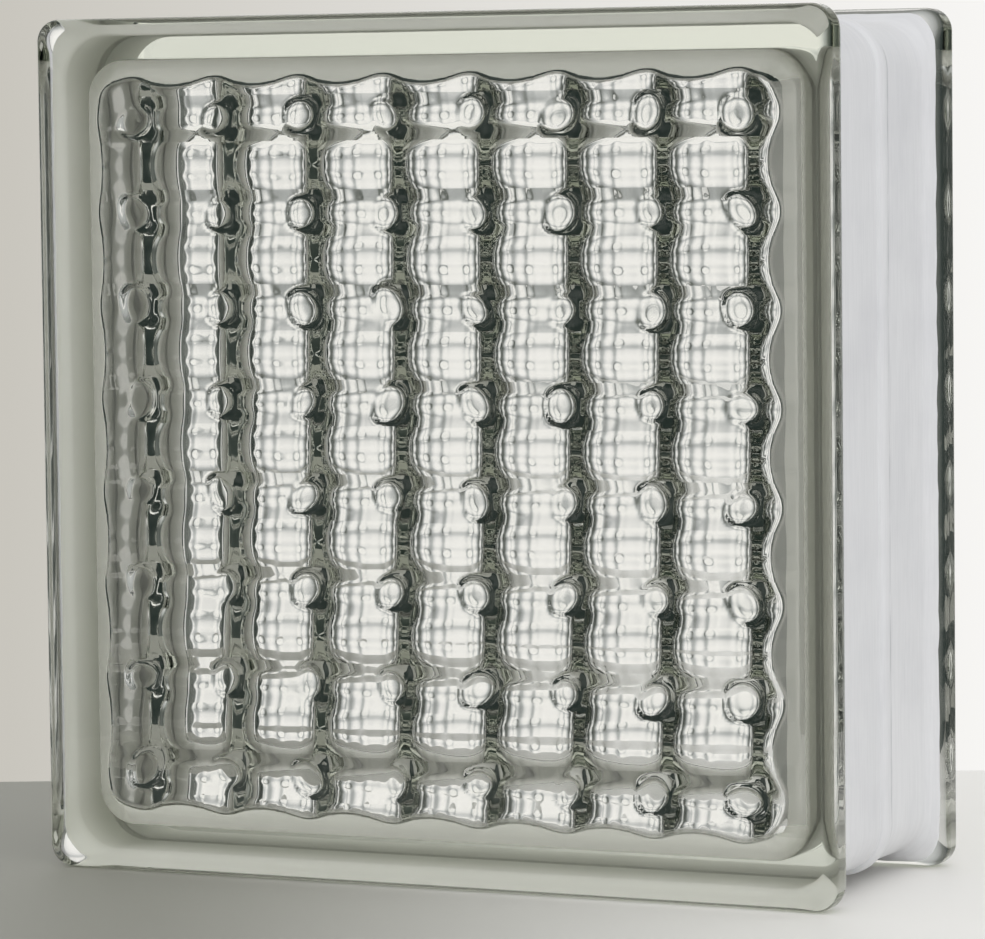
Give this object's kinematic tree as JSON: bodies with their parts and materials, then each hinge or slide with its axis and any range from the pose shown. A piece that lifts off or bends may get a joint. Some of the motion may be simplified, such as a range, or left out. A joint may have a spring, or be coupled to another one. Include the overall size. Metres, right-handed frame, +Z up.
{
  "type": "hollow glass block",
  "caption": "Square hollow glass block with a ribbed lens relief inside both faces, a flange along each face and a coated mortar recess round its edges.",
  "frame": {"origin": "centre of the footprint, on the surface that the block stands on", "axes": "+X along the width of the faces, +Y through the depth from the front face to the back face, +Z up"},
  "size_m": [0.197, 0.079, 0.197],
  "materials": {
    "clear_glass": "fire polished clear soda-lime glass with a faint green tint",
    "white_coating": "thin brushed white coating, satin to matte, slightly uneven"
  },
  "bodies": {
    "root": {"front_half": "clear_glass", "back_half": "clear_glass", "edge_coating": "white_coating"}
  },
  "joints": []
}
